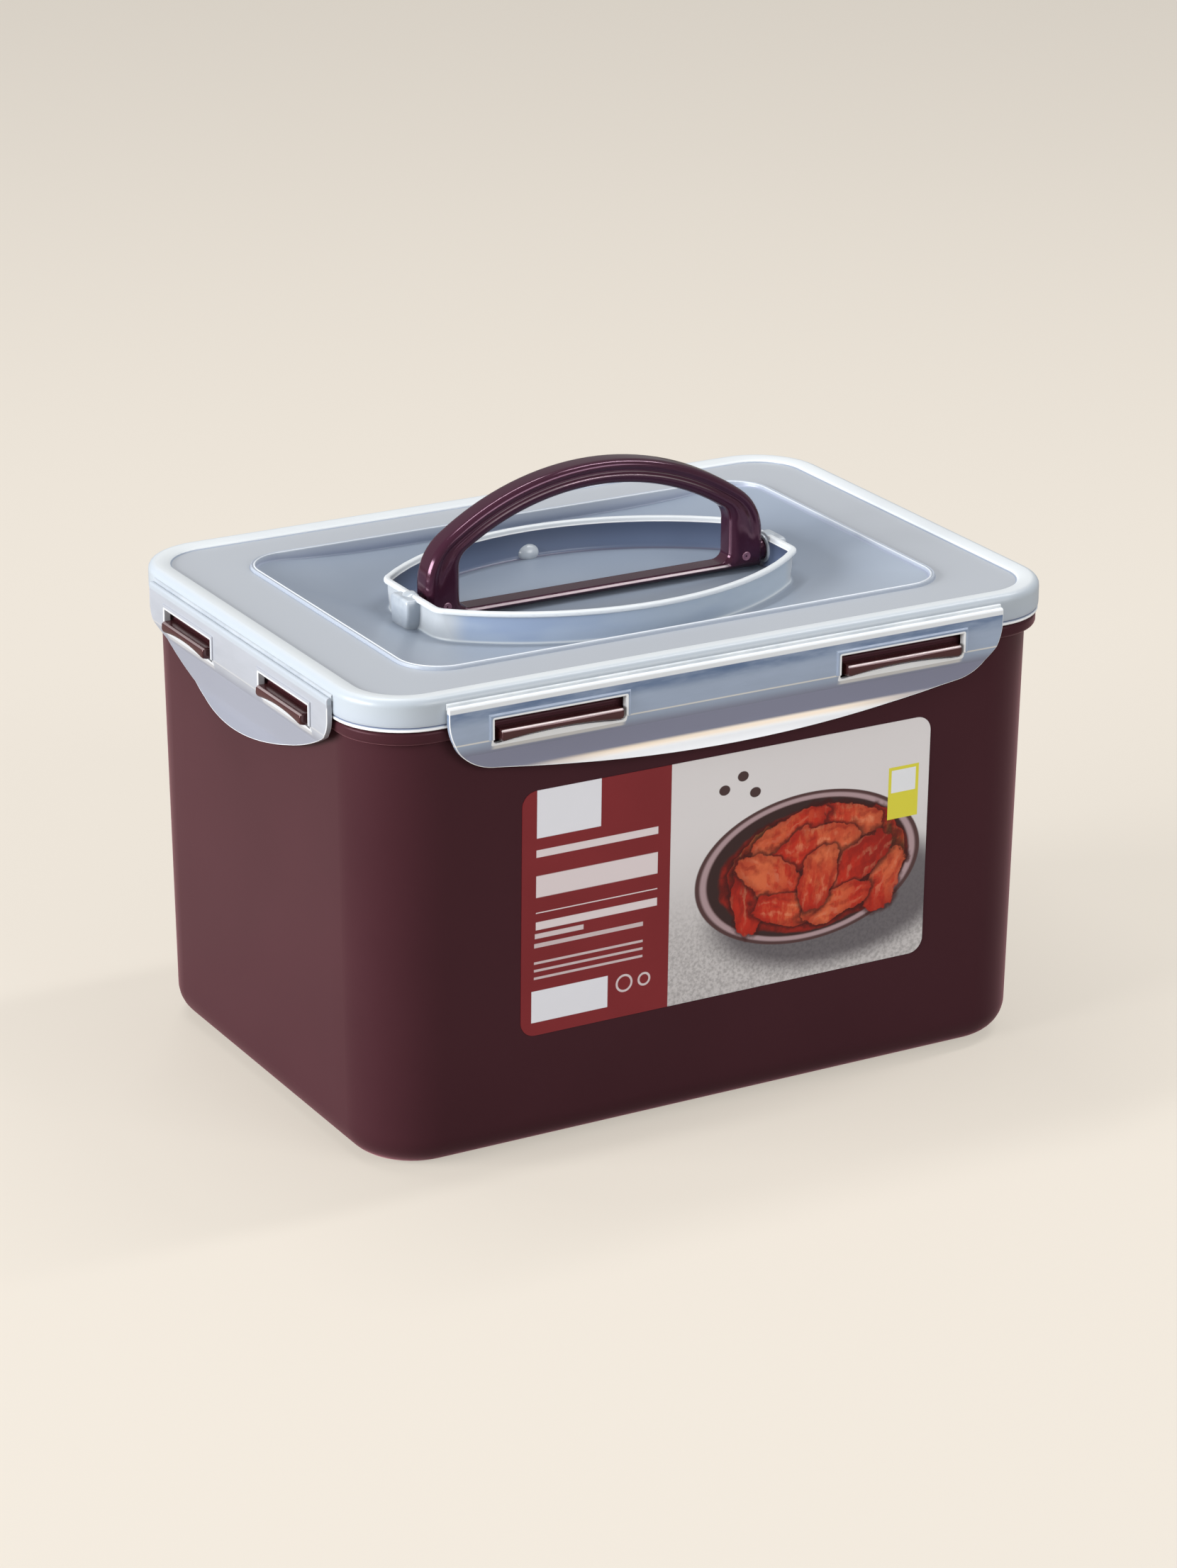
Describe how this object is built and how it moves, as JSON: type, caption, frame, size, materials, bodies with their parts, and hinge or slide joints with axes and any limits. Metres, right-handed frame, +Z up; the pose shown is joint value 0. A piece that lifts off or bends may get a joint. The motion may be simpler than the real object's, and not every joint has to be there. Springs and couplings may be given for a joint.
{
  "type": "kimchi storage container",
  "caption": "Rectangular kimchi storage container with drafted wine-coloured walls, a clear sealed lid locked down by hinged flaps, and a carrying handle that folds into the lid.",
  "frame": {"origin": "centre of the footprint, on the table that the container stands on", "axes": "+Z up, X along the long side, +X to the right of someone who faces the label, -Y out of the label"},
  "size_m": [0.2536, 0.1804, 0.1894],
  "materials": {
    "wine_plastic": "satin",
    "wine_handle_plastic": "gloss",
    "frosted_plastic": "gloss, slightly cloudy",
    "silicone": "matte",
    "printed_film": "printed, semi-gloss"
  },
  "bodies": {
    "container": {"container_body": "wine_plastic", "lid": "frosted_plastic", "seal": "silicone", "front_label": "printed_film"},
    "front_flap": {"flap_front": "frosted_plastic"},
    "back_flap": {"flap_back": "frosted_plastic"},
    "left_flap": {"flap_left": "frosted_plastic"},
    "right_flap": {"flap_right": "frosted_plastic"},
    "carrying_handle": {"handle": "wine_handle_plastic"}
  },
  "joints": [
    {"name": "front_flap_hinge", "type": "hinge", "parent": "container", "child": "front_flap", "pos_m": [0, -0.087, 0.1496], "axis": [-1, 0, 0], "range_deg": [0, 135]},
    {"name": "back_flap_hinge", "type": "hinge", "parent": "container", "child": "back_flap", "pos_m": [0, 0.087, 0.1496], "axis": [1, 0, 0], "range_deg": [0, 135]},
    {"name": "left_flap_hinge", "type": "hinge", "parent": "container", "child": "left_flap", "pos_m": [-0.1236, 0, 0.1496], "axis": [0, 1, 0], "range_deg": [0, 135]},
    {"name": "right_flap_hinge", "type": "hinge", "parent": "container", "child": "right_flap", "pos_m": [0.1236, 0, 0.1496], "axis": [0, -1, 0], "range_deg": [0, 135]},
    {"name": "handle_pivot", "type": "hinge", "parent": "container", "child": "carrying_handle", "pos_m": [0, 0, 0.1505], "axis": [1, 0, 0], "range_deg": [-88, 88]}
  ]
}
